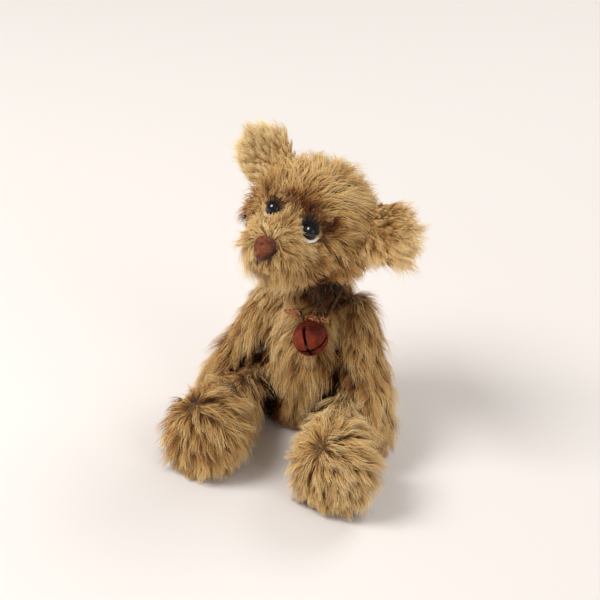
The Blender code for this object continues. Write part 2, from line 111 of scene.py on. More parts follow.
# Parting of each sole, in the order in which groom_leg takes them: its place in millimetres, the leg's
# tone, how marked the parting is, by how much the pile below it is shorter, and how much longer and
# more raised the pile is on top of the leg and at the sides of the foot
partings = {
    "leg_right": ((-42.8, -77.5, 37.2), 0.5, 0.6, 0.0, 0.0),
    "leg_left": ((23.9, -79.6, 37.6), 0.7, 0.1, 3.5, 1.0),
}
body_of = {"ear_right": "head", "ear_left": "head"}


def box_centre(*names):
    """The middle of the boxes of these solids."""
    corners = [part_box(name) for name in names]
    return sum((low + high for low, high in corners), Vector()) / (2 * len(corners))


def linear(code):
    """An sRGB hex colour as linear RGBA."""
    channels = [int(code[i : i + 2], 16) / 255 for i in (0, 2, 4)]
    return (*[c / 12.92 if c <= 0.04045 else ((c + 0.055) / 1.055) ** 2.4 for c in channels], 1)


def wire(node, inputs):
    """Links sockets to a node's inputs, or sets their values."""
    for name, value in inputs.items():
        if isinstance(value, bpy.types.NodeSocket):
            node.id_data.links.new(value, node.inputs[name])
        else:
            node.inputs[name].default_value = value


def add(tree, kind, inputs={}, pick=0, stops=(), **settings):
    """A new node with its settings, values, links and colour stops. Returns one of its outputs."""
    node = tree.nodes.new(kind)
    for name, value in settings.items():
        setattr(node, name, value)
    for number, (position, code) in enumerate(stops):
        elements = node.color_ramp.elements
        stop = elements[number] if number < 2 else elements.new(position)
        stop.position = position
        stop.color = linear(code)
    wire(node, inputs)
    return node.outputs[pick]


def new_material(name):
    made = bpy.data.materials.new(name)
    made.use_nodes = True
    return made, made.node_tree, made.node_tree.nodes["Principled BSDF"]


def mohair_pile():
    """Mohair: long lustrous goat hair, brushed and worn. Dark at the root, pale and dusty at the tip.

    The strands' own map holds their tone across, and root to tip upwards.
    """
    made, tree, shader = new_material("Long brushed mohair")
    place = add(tree, "ShaderNodeUVMap", uv_map="UVMap")
    tone = add(tree, "ShaderNodeSeparateXYZ", {0: place})
    along = tone.node.outputs[1]
    shades = (
        (0.00, ((0, "050201"), (0.4, "1A0C04"), (0.8, "331B0B"), (1, "4A2C14"))),
        (0.25, ((0, "280E02"), (0.35, "5E2A06"), (0.75, "965012"), (1, "BC7626"))),
        (0.50, ((0, "55371B"), (0.25, "A8783F"), (0.65, "D9AE6C"), (1, "EFD199"))),
        (1.00, ((0, "8A653A"), (0.25, "D6AC6C"), (0.65, "F3D79B"), (1, "FCEBC2"))),
    )
    colour = add(tree, "ShaderNodeValToRGB", {0: along}, stops=shades[0][1])
    for (start, _), (end, stops) in zip(shades, shades[1:]):
        share = add(tree, "ShaderNodeMapRange", {"Value": tone, "From Min": start, "From Max": end})
        shade = add(tree, "ShaderNodeValToRGB", {0: along}, stops=stops)
        colour = add(tree, "ShaderNodeMix", {0: share, 6: colour, 7: shade}, pick=2, data_type="RGBA")
    wire(shader, {
        "Base Color": colour, "Roughness": 0.52, "Specular IOR Level": 0.16,
        "Sheen Weight": 0.1, "Sheen Roughness": 0.4,
    })
    return made


def woven_backing():
    """Cotton backing of the mohair, plain woven at about 16 threads to the centimetre, browned with age."""
    made, tree, shader = new_material("Woven cotton backing")
    thread_spacing = 0.6 * mm
    bands_per_scale = 0.314  # metres that one band of a wave texture takes at scale 1
    place = add(tree, "ShaderNodeTexCoord", pick="Object")
    heights = []
    for direction in ("X", "Z"):
        heights.append(
            add(
                tree, "ShaderNodeTexWave",
                {"Vector": place, "Scale": bands_per_scale / thread_spacing, "Distortion": 0.6},
                pick=1, bands_direction=direction,
            )
        )
    weave = add(tree, "ShaderNodeMath", {0: heights[0], 1: heights[1]}, operation="MAXIMUM")
    colour = add(tree, "ShaderNodeValToRGB", {0: weave}, stops=((0.1, "2A1A0D"), (0.9, "6B4C2C")))
    bump = add(tree, "ShaderNodeBump", {"Height": weave, "Strength": 0.5, "Distance": 0.1 * mm})
    wire(shader, {"Base Color": colour, "Normal": bump, "Roughness": 0.9})
    return made


def black_glass():
    """Pressed black glass: near black, mirror smooth, with a little dust that softens its gloss."""
    made, tree, shader = new_material("Pressed black glass")
    place = add(tree, "ShaderNodeTexCoord", pick="Object")
    dust = add(tree, "ShaderNodeTexNoise", {"Vector": place, "Scale": 900, "Detail": 4})
    roughness = add(
        tree, "ShaderNodeMapRange",
        {"Value": dust, "From Min": 0.4, "From Max": 0.8, "To Min": 0.03, "To Max": 0.16},
    )
    colour = add(tree, "ShaderNodeValToRGB", {0: dust}, stops=((0.3, "070505"), (0.9, "140E0C")))
    wire(shader, {"Base Color": colour, "Roughness": roughness, "IOR": 1.52})
    return made


def wool_felt():
    """White wool felt: matt, with a short matted nap."""
    made, tree, shader = new_material("White wool felt")
    place = add(tree, "ShaderNodeTexCoord", pick="Object")
    nap = add(tree, "ShaderNodeTexNoise", {"Vector": place, "Scale": 2500, "Detail": 5, "Roughness": 0.7})
    colour = add(tree, "ShaderNodeValToRGB", {0: nap}, stops=((0.3, "C9C3B8"), (0.7, "F1EEE7")))
    bump = add(tree, "ShaderNodeBump", {"Height": nap, "Strength": 0.5, "Distance": 0.15 * mm})
    wire(shader, {"Base Color": colour, "Normal": bump, "Roughness": 0.95})
    return made


def embroidery_thread(name, dark, middle, light, painted_shade_towards=None):
    """Stranded embroidery cotton with a soft satin sheen. It may be darkened to one side with painted shade."""
    made, tree, shader = new_material(name)
    place = add(tree, "ShaderNodeTexCoord", pick="Object")
    faded = add(tree, "ShaderNodeTexNoise", {"Vector": place, "Scale": 420, "Detail": 3})
    fibres = add(tree, "ShaderNodeTexNoise", {"Vector": place, "Scale": 3200, "Detail": 3})
    both = add(tree, "ShaderNodeMix", {0: 0.45, 2: faded, 3: fibres})
    colour = add(tree, "ShaderNodeValToRGB", {0: both}, stops=((0.3, dark), (0.5, middle), (0.72, light)))
    # Painted shade: the colour darkens towards one side, from where it starts to where it is darkest
    if painted_shade_towards:
        middle, way, shade_start, dark_from = painted_shade_towards
        off = add(tree, "ShaderNodeVectorMath", {0: place, 1: middle}, operation="SUBTRACT")
        side = add(tree, "ShaderNodeVectorMath", {0: off, 1: way}, pick=1, operation="DOT_PRODUCT")
        painted_shade_share = add(
            tree, "ShaderNodeMapRange",
            {"Value": side, "From Min": shade_start, "From Max": dark_from, "To Max": 0.9},
        )
        painted_shade_colour = linear("2E120E")
        colour = add(tree, "ShaderNodeMix", {0: painted_shade_share, 6: colour, 7: painted_shade_colour}, pick=2, data_type="RGBA")
    bump = add(tree, "ShaderNodeBump", {"Height": fibres, "Strength": 0.4, "Distance": 0.08 * mm})
    wire(shader, {
        "Base Color": colour, "Normal": bump, "Roughness": 0.6,
        "Specular IOR Level": 0.2, "Sheen Weight": 0.08,
    })
    return made


def rusty_tin():
    """Thin pressed steel, rusted all over: red-brown, with orange bloom, maroon shadows and fine pits."""
    made, tree, shader = new_material("Rusted pressed steel")
    place = add(tree, "ShaderNodeTexCoord", pick="Object")
    blotch = add(tree, "ShaderNodeTexNoise", {"Vector": place, "Scale": 130, "Detail": 6, "Roughness": 0.65})
    grain = add(tree, "ShaderNodeTexNoise", {"Vector": place, "Scale": 1500, "Detail": 6, "Roughness": 0.75})
    both = add(tree, "ShaderNodeMix", {0: 0.35, 2: blotch, 3: grain})
    stops = ((0.32, "2C0C08"), (0.45, "5E1C0C"), (0.56, "7E2D10"), (0.72, "B25A20"))
    colour = add(tree, "ShaderNodeValToRGB", {0: both}, stops=stops)
    bump = add(tree, "ShaderNodeBump", {"Height": both, "Strength": 0.7, "Distance": 0.12 * mm})
    metal = add(
        tree, "ShaderNodeMapRange",
        {"Value": blotch, "From Min": 0.35, "From Max": 0.5, "To Min": 0.35, "To Max": 0.0},
    )
    wire(shader, {
        "Base Color": colour, "Metallic": metal, "Normal": bump,
        "Roughness": 0.7, "Specular IOR Level": 0.25,
    })
    return made


def zinc_steel():
    """Bright drawn steel wire and stamped washers, a little dull."""
    made, tree, shader = new_material("Dull drawn steel")
    place = add(tree, "ShaderNodeTexCoord", pick="Object")
    drawn = add(tree, "ShaderNodeTexNoise", {"Vector": place, "Scale": 800, "Detail": 5})
    colour = add(tree, "ShaderNodeValToRGB", {0: drawn}, stops=((0.3, "7D7C7A"), (0.7, "A9A8A5")))
    roughness = add(tree, "ShaderNodeMapRange", {"Value": drawn, "To Min": 0.28, "To Max": 0.5})
    wire(shader, {"Base Color": colour, "Roughness": roughness, "Metallic": 1})
    return made


def hardboard():
    """Pressed wood fibre board, brown and matt, with short darker fibres."""
    made, tree, shader = new_material("Pressed hardboard")
    place = add(tree, "ShaderNodeTexCoord", pick="Object")
    fibre = add(tree, "ShaderNodeTexNoise", {"Vector": place, "Scale": 1400, "Detail": 6, "Distortion": 1.5})
    colour = add(tree, "ShaderNodeValToRGB", {0: fibre}, stops=((0.3, "4A301A"), (0.7, "8A6540")))
    bump = add(tree, "ShaderNodeBump", {"Height": fibre, "Strength": 0.3, "Distance": 0.05 * mm})
    wire(shader, {"Base Color": colour, "Normal": bump, "Roughness": 0.8})
    return made


def set_input(modifier, name, value):
    """Sets a modifier's input by the identifier of its socket."""
    for item in modifier.node_group.interface.items_tree:
        if item.name == name and item.in_out == "INPUT":
            modifier[item.identifier] = value


def strand_curve_tree():
    """Where a point of a strand lies: it rises from the skin, bends along the comb, waves and droops."""
    tree = bpy.data.node_groups.new("Strand curve", "GeometryNodeTree")
    for name in ("Root", "Normal", "Comb", "Habit", "Chance"):
        tree.interface.new_socket(name, in_out="INPUT", socket_type="NodeSocketVector")
    for name in ("Along", "Phase", "Curl", "Wave", "Droop"):
        tree.interface.new_socket(name, in_out="INPUT", socket_type="NodeSocketFloat")
    tree.interface.new_socket("Position", in_out="OUTPUT", socket_type="NodeSocketVector")
    given = tree.nodes.new("NodeGroupInput").outputs
    pile = add(tree, "ShaderNodeSeparateXYZ", {0: given["Habit"]})
    lift = pile.node.outputs[1]
    chance = add(tree, "ShaderNodeSeparateXYZ", {0: given["Chance"]}).node.outputs
    along = given["Along"]
    uneven = add(tree, "ShaderNodeMath", {0: chance[1], 1: 0.55, 2: 0.65}, operation="MULTIPLY_ADD")
    rare = add(tree, "ShaderNodeMath", {0: chance[2], 1: 9.0}, operation="POWER")
    uneven = add(tree, "ShaderNodeMath", {0: rare, 1: 0.35, 2: uneven}, operation="MULTIPLY_ADD")
    length = add(tree, "ShaderNodeMath", {0: pile, 1: uneven}, operation="MULTIPLY")
    heading = add(tree, "ShaderNodeVectorMath", {0: given["Comb"]}, operation="NORMALIZE")
    across = add(tree, "ShaderNodeVectorMath", {0: given["Normal"], 1: heading}, operation="CROSS_PRODUCT")
    side = add(tree, "ShaderNodeVectorMath", {0: across}, operation="NORMALIZE")

    bend = add(tree, "ShaderNodeMath", {0: along, 1: -0.7, 2: 1.35}, operation="MULTIPLY_ADD")
    raised = add(tree, "ShaderNodeMath", {0: bend, 1: along}, operation="MULTIPLY")
    rise = add(tree, "ShaderNodeMath", {0: raised, 1: lift}, operation="MULTIPLY")
    flat = add(tree, "ShaderNodeMath", {0: lift, 1: -0.6, 2: 1.05}, operation="MULTIPLY_ADD")
    run = add(tree, "ShaderNodeMath", {0: flat, 1: along}, operation="MULTIPLY")
    squared = add(tree, "ShaderNodeMath", {0: along, 1: along}, operation="MULTIPLY")
    drop = add(tree, "ShaderNodeMath", {0: squared, 1: given["Droop"]}, operation="MULTIPLY")
    phase = add(tree, "ShaderNodeMath", {0: given["Phase"], 1: 2 * pi}, operation="MULTIPLY")
    angle = add(tree, "ShaderNodeMath", {0: along, 1: given["Curl"], 2: phase}, operation="MULTIPLY_ADD")
    swing = add(tree, "ShaderNodeMath", {0: angle}, operation="SINE")
    start = add(tree, "ShaderNodeMath", {0: phase}, operation="SINE")
    swing = add(tree, "ShaderNodeMath", {0: swing, 1: start}, operation="SUBTRACT")
    wave = add(tree, "ShaderNodeMath", {0: swing, 1: given["Wave"]}, operation="MULTIPLY")

    up = add(tree, "ShaderNodeVectorMath", {0: given["Normal"], "Scale": rise}, operation="SCALE")
    on = add(tree, "ShaderNodeVectorMath", {0: heading, "Scale": run}, operation="SCALE")
    aside = add(tree, "ShaderNodeVectorMath", {0: side, "Scale": wave}, operation="SCALE")
    down = add(tree, "ShaderNodeVectorMath", {0: (0, 0, -1), "Scale": drop}, operation="SCALE")
    total = add(tree, "ShaderNodeVectorMath", {0: up, 1: on}, operation="ADD")
    total = add(tree, "ShaderNodeVectorMath", {0: total, 1: aside}, operation="ADD")
    total = add(tree, "ShaderNodeVectorMath", {0: total, 1: down}, operation="ADD")
    shape = add(tree, "ShaderNodeVectorMath", {0: total, "Scale": length}, operation="SCALE")
    place = add(tree, "ShaderNodeVectorMath", {0: given["Root"], 1: shape}, operation="ADD")
    wire(tree.nodes.new("NodeGroupOutput"), {0: place})
    return tree


def pile_tree(curve_tree):
    """Strands on a groomed skin, each a tapered ribbon that gathers towards the lock nearest to it."""
    tree = bpy.data.node_groups.new("Mohair pile", "GeometryNodeTree")
    tree.interface.new_socket("Skin", in_out="INPUT", socket_type="NodeSocketGeometry")
    for name in (
        "Strands per area", "Locks per area", "Width", "Curl", "Wave", "Droop", "Gathering",
        "Waywardness", "Looseness", "Roll", "Lowest", "Spread",
    ):
        tree.interface.new_socket(name, in_out="INPUT", socket_type="NodeSocketFloat")
    tree.interface.new_socket("Seed", in_out="INPUT", socket_type="NodeSocketInt")
    tree.interface.new_socket("Finish", in_out="INPUT", socket_type="NodeSocketMaterial")
    tree.interface.new_socket("Pile", in_out="OUTPUT", socket_type="NodeSocketGeometry")
    given = tree.nodes.new("NodeGroupInput").outputs
    crowd = add(tree, "GeometryNodeInputNamedAttribute", {"Name": "crowd"}, data_type="FLOAT")
    where = add(tree, "GeometryNodeInputPosition")

    def scattered(density, seed_step):
        """Points on the skin that keep their root, normal and chance."""
        amount = add(tree, "ShaderNodeMath", {0: given[density], 1: crowd}, operation="MULTIPLY")
        seed = add(tree, "ShaderNodeMath", {0: given["Seed"], 1: seed_step}, operation="ADD")
        points = add(
            tree, "GeometryNodeDistributePointsOnFaces",
            {"Mesh": given["Skin"], "Density": amount, "Seed": seed},
        )
        chance = add(tree, "FunctionNodeRandomValue", {"Seed": seed}, data_type="FLOAT_VECTOR")
        for name, value in (("root", where), ("stand", points.node.outputs["Normal"]), ("chance", chance)):
            points = add(
                tree, "GeometryNodeStoreNamedAttribute", {"Geometry": points, "Name": name, "Value": value},
                data_type="FLOAT_VECTOR", domain="POINT",
            )
        return points

    strands = scattered("Strands per area", 0)
    locks = scattered("Locks per area", 1)
    nearest = add(tree, "GeometryNodeSampleNearest", {"Geometry": locks})
    names = ("root", "stand", "comb", "habit", "chance")
    for name in names:
        value = add(tree, "GeometryNodeInputNamedAttribute", {"Name": name}, data_type="FLOAT_VECTOR")
        sampled = add(
            tree, "GeometryNodeSampleIndex", {"Geometry": locks, "Value": value, "Index": nearest},
            data_type="FLOAT_VECTOR",
        )
        strands = add(
            tree, "GeometryNodeStoreNamedAttribute",
            {"Geometry": strands, "Name": "lock " + name, "Value": sampled},
            data_type="FLOAT_VECTOR", domain="POINT",
        )

    grid = add(tree, "GeometryNodeMeshGrid", {"Size X": 2, "Size Y": 1, "Vertices X": 2, "Vertices Y": 5})
    flat = add(tree, "ShaderNodeSeparateXYZ", {0: where})
    reach = add(tree, "ShaderNodeMath", {0: flat.node.outputs[1], 1: 0.5}, operation="ADD")
    ribbon = add(
        tree, "GeometryNodeStoreNamedAttribute", {"Geometry": grid, "Name": "across", "Value": flat},
        data_type="FLOAT", domain="POINT",
    )
    ribbon = add(
        tree, "GeometryNodeStoreNamedAttribute", {"Geometry": ribbon, "Name": "along", "Value": reach},
        data_type="FLOAT", domain="POINT",
    )
    placed = add(tree, "GeometryNodeInstanceOnPoints", {"Points": strands, "Instance": ribbon})
    ribbons = add(tree, "GeometryNodeRealizeInstances", {0: placed})

    along = add(tree, "GeometryNodeInputNamedAttribute", {"Name": "along"}, data_type="FLOAT")
    across = add(tree, "GeometryNodeInputNamedAttribute", {"Name": "across"}, data_type="FLOAT")
    kept = {}
    for prefix in ("", "lock "):
        for name in names:
            kept[prefix + name] = add(
                tree, "GeometryNodeInputNamedAttribute", {"Name": prefix + name}, data_type="FLOAT_VECTOR"
            )
    chance = add(tree, "ShaderNodeSeparateXYZ", {0: kept["chance"]}).node.outputs
    lock_chance = add(tree, "ShaderNodeSeparateXYZ", {0: kept["lock chance"]}).node.outputs

    def strayed(heading, chances, amount):
        """A heading that each strand or lock leaves a little, its own way."""
        off = add(tree, "ShaderNodeVectorMath", {0: kept[chances], 1: (0.5, 0.5, 0.5)}, operation="SUBTRACT")
        off = add(tree, "ShaderNodeVectorMath", {0: off, "Scale": given[amount]}, operation="SCALE")
        return add(tree, "ShaderNodeVectorMath", {0: heading, 1: off}, operation="ADD")

    lock_heading = strayed(kept["lock comb"], "lock chance", "Waywardness")
    own_heading = strayed(strayed(kept["comb"], "lock chance", "Waywardness"), "chance", "Looseness")
    middles = []
    for prefix, heading in (("", own_heading), ("lock ", lock_heading)):
        middles.append(add(tree, "GeometryNodeGroup", {
            "Root": kept[prefix + "root"], "Normal": kept[prefix + "stand"], "Comb": heading,
            "Habit": kept[prefix + "habit"], "Chance": kept[prefix + "chance"], "Along": along,
            "Phase": lock_chance[1], "Curl": given["Curl"], "Wave": given["Wave"], "Droop": given["Droop"],
        }, node_tree=curve_tree))
    eager = add(tree, "ShaderNodeMath", {0: chance[2], 1: 0.7, 2: 0.5}, operation="MULTIPLY_ADD")
    reached = add(tree, "ShaderNodeMath", {0: along, 1: 0.75}, operation="POWER")
    gather = add(tree, "ShaderNodeMath", {0: eager, 1: reached}, operation="MULTIPLY")
    gather = add(tree, "ShaderNodeMath", {0: gather, 1: given["Gathering"]}, operation="MULTIPLY")
    middle = add(tree, "ShaderNodeMix", {0: gather, 4: middles[0], 5: middles[1]}, pick=1, data_type="VECTOR")

    side = add(tree, "ShaderNodeVectorMath", {0: kept["stand"], 1: kept["comb"]}, operation="CROSS_PRODUCT")
    side = add(tree, "ShaderNodeVectorMath", {0: side}, operation="NORMALIZE")
    turn = add(tree, "ShaderNodeMath", {0: chance[0], 1: 0.5}, operation="SUBTRACT")
    turn = add(tree, "ShaderNodeMath", {0: turn, 1: given["Roll"]}, operation="MULTIPLY")
    level = add(tree, "ShaderNodeMath", {0: turn}, operation="COSINE")
    upright = add(tree, "ShaderNodeMath", {0: turn}, operation="SINE")
    level = add(tree, "ShaderNodeVectorMath", {0: side, "Scale": level}, operation="SCALE")
    upright = add(tree, "ShaderNodeVectorMath", {0: kept["stand"], "Scale": upright}, operation="SCALE")
    wide = add(tree, "ShaderNodeVectorMath", {0: level, 1: upright}, operation="ADD")
    taper = add(tree, "ShaderNodeMath", {0: along, 1: -0.9, 2: 1.0}, operation="MULTIPLY_ADD")
    half = add(tree, "ShaderNodeMath", {0: across, 1: taper}, operation="MULTIPLY")
    half = add(tree, "ShaderNodeMath", {0: half, 1: given["Width"]}, operation="MULTIPLY")
    half = add(tree, "ShaderNodeMath", {0: half, 1: 0.5}, operation="MULTIPLY")
    edge = add(tree, "ShaderNodeVectorMath", {0: wide, "Scale": half}, operation="SCALE")
    place = add(tree, "ShaderNodeVectorMath", {0: middle, 1: edge}, operation="ADD")
    parts = add(tree, "ShaderNodeSeparateXYZ", {0: place}).node.outputs
    lowest = add(
        tree, "ShaderNodeMath", {0: chance[1], 1: given["Spread"], 2: given["Lowest"]},
        operation="MULTIPLY_ADD",
    )
    held = add(tree, "ShaderNodeMath", {0: parts[2], 1: lowest}, operation="MAXIMUM")
    place = add(tree, "ShaderNodeCombineXYZ", {0: parts[0], 1: parts[1], 2: held})
    moved = add(tree, "GeometryNodeSetPosition", {"Geometry": ribbons, "Position": place})

    tone = add(tree, "ShaderNodeSeparateXYZ", {0: kept["habit"]}).node.outputs[2]
    lock_tint = add(tree, "ShaderNodeMath", {0: lock_chance[0], 1: 0.24, 2: tone}, operation="MULTIPLY_ADD")
    tint = add(tree, "ShaderNodeMath", {0: chance[1], 1: 0.24, 2: lock_tint}, operation="MULTIPLY_ADD")
    tint = add(tree, "ShaderNodeMath", {0: tint, 1: 0.24}, operation="SUBTRACT")
    tint = add(tree, "ShaderNodeClamp", {0: tint, 1: 0.02, 2: 0.98})
    chart = add(tree, "ShaderNodeCombineXYZ", {0: tint, 1: along})
    mapped = add(
        tree, "GeometryNodeStoreNamedAttribute", {"Geometry": moved, "Name": "UVMap", "Value": chart},
        data_type="FLOAT2", domain="CORNER",
    )
    finished = add(tree, "GeometryNodeSetMaterial", {"Geometry": mapped, "Material": given["Finish"]})
    wire(tree.nodes.new("NodeGroupOutput"), {0: finished})
    return tree


def merged(node):
    """A copy of a CAD node's mesh with its triangles joined."""
    bm = bmesh.new()
    bm.from_mesh(nodes[node].data)
    weld_distance = 0.002 * mm
    bmesh.ops.remove_doubles(bm, verts=bm.verts, dist=weld_distance)
    return bm


def mesh_of(bm, name):
    """A smooth mesh of the bmesh, which is freed."""
    mesh = bpy.data.meshes.new(name)
    bm.to_mesh(mesh)
    bm.free()
    mesh.shade_smooth()
    return mesh


def add_piece(name, mesh, body, finish=None):
    """An object that rides on a body, with the finish if one is given."""
    piece = bpy.data.objects.new(name, mesh)
    bpy.context.scene.collection.objects.link(piece)
    if finish:
        mesh.materials.clear()
        mesh.materials.append(finish)
    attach(piece, body)
    return piece


def unit(vectors):
    return vectors / np.maximum(np.linalg.norm(vectors, axis=-1, keepdims=True), 1e-9)


def along_skin(vectors, normals):
    """The vectors laid along the skin, at unit length."""
    flat = vectors - (vectors * normals).sum(1, keepdims=True) * normals
    return unit(flat)


def ease(values, low, high):
    """0 below low, 1 above high and smooth between, where high may also be the smaller."""
    share = np.clip((values - low) / (high - low), 0, 1)
    return share * share * (3 - 2 * share)


def patches(points, size):
    """Soft noise over the points, about -0.5 to 0.5."""
    return np.array([noise.noise(Vector(point) / size) for point in points])


def swirls(points, size):
    """Soft noise vectors over the points."""
    return np.array([noise.noise_vector(Vector(point) / size) for point in points])


def mixed(first, second, share):
    """Vectors that go from the first to the second by each point's share."""
    return first * (1 - share[:, None]) + second * share[:, None]


def toward(direction, count):
    """The same vector for every point."""
    return np.tile(np.array(direction, float), (count, 1))


def groom_torso(points, normals):
    """Shaggy and combed down, parted round the bell, short under the chin and where it sits."""
    count = len(points)
    bell = np.array(box_centre("bell_upper", "bell_lower")) / mm
    away = points - bell
    beside = np.hypot(away[:, 0], away[:, 2])
    near_bell = ease(beside, 22, 8) * ease(points[:, 1], -8, -16)
    comb = toward((0.05, -0.12, -1), count)
    comb = comb + unit(away * (1, 0, 1)) * near_bell[:, None] * 0.9
    neck = ease(points[:, 2], 72, 78) * ease(points[:, 0], -16, -7) * ease(points[:, 1], 9, 1)
    pile = usual_pile["torso"] - 8 * neck - 7 * ease(points[:, 2], 10, 2) - 4 * near_bell
    crotch = ease(points[:, 0], 0, -12) * ease(points[:, 2], 24, 12) * ease(points[:, 1], 0, -8)
    comb = comb + toward((-0.9, -0.5, 0.6), count) * crotch[:, None]
    pile = pile + 6 * crotch
    lift = usual_lift["torso"] - 0.12 * near_bell - 0.15 * neck + 0.35 * crotch
    chest = ease(points[:, 0], 8, -10) * ease(points[:, 2], 42, 56)
    # Painted shade darkens the throat under the chin and the crotch, and painted light brightens the upper chest
    # on the bear's right, which faces the key lamp
    tone = usual_tone["torso"] + 0.2 * patches(points, 13) - 0.6 * neck + 0.26 * chest - 0.5 * crotch
    return comb, pile, lift, tone, np.ones(count)


def groom_head(points, normals):
    """Short and reddish round the eyes and brow, pale on the muzzle's top partly by painted light, long on cheeks,
    chin and crown, and darkened with painted shade on the cheeks, jaw and lower muzzle.
    """
    count = len(points)
    turn = np.array(head_turn)
    brow = np.array(box_centre("eye_left", "eye_right")) / mm
    nose = np.array(box_centre("nose")) / mm
    local = (points - brow) @ turn
    side, ahead, up = local[:, 0], -local[:, 1], local[:, 2]
    sign = np.tanh(side / 4)
    from_eye = np.sqrt((np.abs(side) - eye_spread) ** 2 + ahead**2 + up**2)
    from_nose = np.linalg.norm(points - nose, axis=1)
    muzzle = ease(ahead, -1, 7)
    chin = ease(up, -12, -19) * ease(ahead, -6, 4)
    jaw = ease(up, -12, -19) * ease(ahead, 2, -8) * ease(points[:, 1], 12, 4)
    cheek = ease(np.abs(side), 13, 22) * ease(up, 6, -4)
    face = ease(ahead, -16, -6) * ease(up, 16, 6)
    near_eye = ease(from_eye, 11.5, 6)

    crown_comb = np.stack((side / 22, np.full(count, 1.0), np.full(count, 0.35)), 1)
    face_comb = np.stack((0.45 * sign, np.full(count, 0.5), np.full(count, 0.9)), 1)
    muzzle_comb = np.stack((0.5 * sign, np.full(count, 0.9), -0.3 - 0.4 * ease(up, -8, -16)), 1)
    cheek_comb = np.stack((0.55 * sign, np.full(count, 0.9), np.full(count, -0.55)), 1)
    from_socket = unit(np.stack((side - np.sign(side) * eye_spread, np.zeros(count), up), 1))
    comb = mixed(crown_comb, face_comb, face)
    comb = mixed(comb, cheek_comb, cheek)
    comb = mixed(comb, muzzle_comb, muzzle)
    comb = mixed(comb, from_socket, near_eye * 0.6)
    jaw_comb = np.stack((0.3 * sign, np.full(count, 1.0), np.full(count, 0.3)), 1)
    comb = mixed(comb, jaw_comb, jaw)
    hanging = toward((-0.1, -0.2, -1), count)
    comb = mixed(comb @ turn.T, hanging, chin)

    crown = ease(up, 6, 20) + ease(np.abs(side), 12, 24) * ease(ahead, -2, -14)
    crown = np.minimum(crown, 1)
    pile = usual_pile["head"] - 4.0 * face + 1.5 * cheek + 6.0 * crown - 3.5 * crown * ease(side, 2, 14)
    pile = pile * (1 - muzzle) + (muzzle_pile + 5.5 * ease(from_nose, 6, 17)) * muzzle
    pile = pile * (1 - chin) + chin_pile * chin
    pile = pile * (1 - jaw) + jaw_pile * jaw
    pile = pile * (1 - near_eye) + socket_pile * near_eye
    # Short round the nose, so that it stays clear
    pile = np.minimum(pile, 0.8 + 0.6 * from_nose + 12.0 * chin * ease(from_nose, 9, 14))
    lift = usual_lift["head"] + 0.26 * crown - 0.1 * crown * ease(side, 2, 14)
    lift = lift - 0.16 * muzzle - 0.1 * chin - 0.1 * near_eye - 0.2 * jaw
    reddish = ease(np.hypot(side / 11, (up - 6.5) / 5), 1.3, 0.3) * ease(ahead, -16, -6)
    corner = ease(np.hypot((side - 16) / 5, (up - 5) / 4), 1.3, 0.3) * ease(ahead, -16, -6)
    pale = np.maximum(ease(up, -14, -6), ease(side, 3, -3))
    # The muzzle's top and its part on the bear's right are paler, partly its own pale colour and partly painted
    # light, and the rest of it is darker with painted shade
    tone = usual_tone["head"] + 0.16 * patches(points, 10) + (0.22 * pale - 0.08) * muzzle
    tone = tone - np.maximum(0.5 * reddish, 0.43 * corner) * (1 - muzzle)
    tone = tone + 0.14 * chin * ease(side, 3, -3)
    # Painted shade darkens the cheeks and the jaw
    tone = tone - 0.2 * cheek + 0.08 * ease(up, 8, 16) - 0.3 * jaw
    crowd = np.where(from_eye < bare_round_eye, 0.0, 1.0) * (1 + 0.6 * near_eye + 0.5 * muzzle)
    return comb, pile, lift, tone, crowd


def groom_ear(points, normals):
    """Long and spiky, sprayed outwards from where the ear is sewn on. The left ear's pile hangs."""
    count = len(points)
    centre = points.mean(0)
    skull = np.array(box_centre("head")) / mm
    outwards = unit(centre - skull)
    fan = unit(points - centre)
    hanging = 1.0 if outwards[0] > 0 else 0.0  # 1 for the left ear
    below = ease(points[:, 2] - centre[2], 4, -6) * hanging
    above = ease(points[:, 2] - centre[2], -1, 6) * hanging
    inner = ease((points - centre)[:, 0], 3, 10) * (1 - hanging)
    pull = 0.12 * hanging + 0.8 * below + 0.3 * above
    comb = outwards + 0.5 * fan + toward((0, 0, -1), count) * pull[:, None]
    beyond = (points - centre) @ outwards
    in_front = ease(normals @ np.array(head_turn)[:, 1], 0.1, -0.5)
    inside = ease(np.linalg.norm(points - centre, axis=1), 10, 4) * in_front
    pile = usual_pile["ear"] + (3.4 + 4.9 * hanging) * ease(beyond, -2, 9)
    pile = pile - 2.5 * inside + 3.0 * below - 6.5 * above - 4.5 * inner
    lift = usual_lift["ear"] + 0.06 * inside - 0.2 * above - 0.12 * inner
    tone = usual_tone["ear"] - 0.34 * hanging + 0.2 * patches(points, 8)
    # Painted shade darkens the front of the ear's middle, in its hollow
    tone = tone + 0.14 * ease(beyond, 0, 10) - 0.2 * inside
    return comb, pile, lift, tone, np.ones(count)


def far_end(points, pivot):
    """The middle of the tenth of the points that lies furthest from the pivot."""
    reach = np.linalg.norm(points - pivot, axis=1)
    return points[reach > np.quantile(reach, 0.9)].mean(0)


def groom_arm(points, normals, pivot):
    """Shaggy and combed down to the paw, whose end is tousled."""
    count = len(points)
    paw = far_end(points, pivot)
    length = np.linalg.norm(paw - pivot)
    heading = (paw - pivot) / length
    share = ((points - pivot) @ heading) / length
    end = ease(share, 0.86, 1.05)
    comb = toward(heading, count) + toward((0, 0, -0.45), count)
    inside_paw = paw - heading * 8
    comb = mixed(comb, points - inside_paw, end)
    pile = usual_pile["arm"] - 3.0 * ease(share, 0.2, -0.15) - 3.0 * end
    lift = usual_lift["arm"] + 0.1 * end
    tone = usual_tone["arm"] + 0.22 * patches(points, 11)
    return comb, pile, lift, tone, np.ones(count)


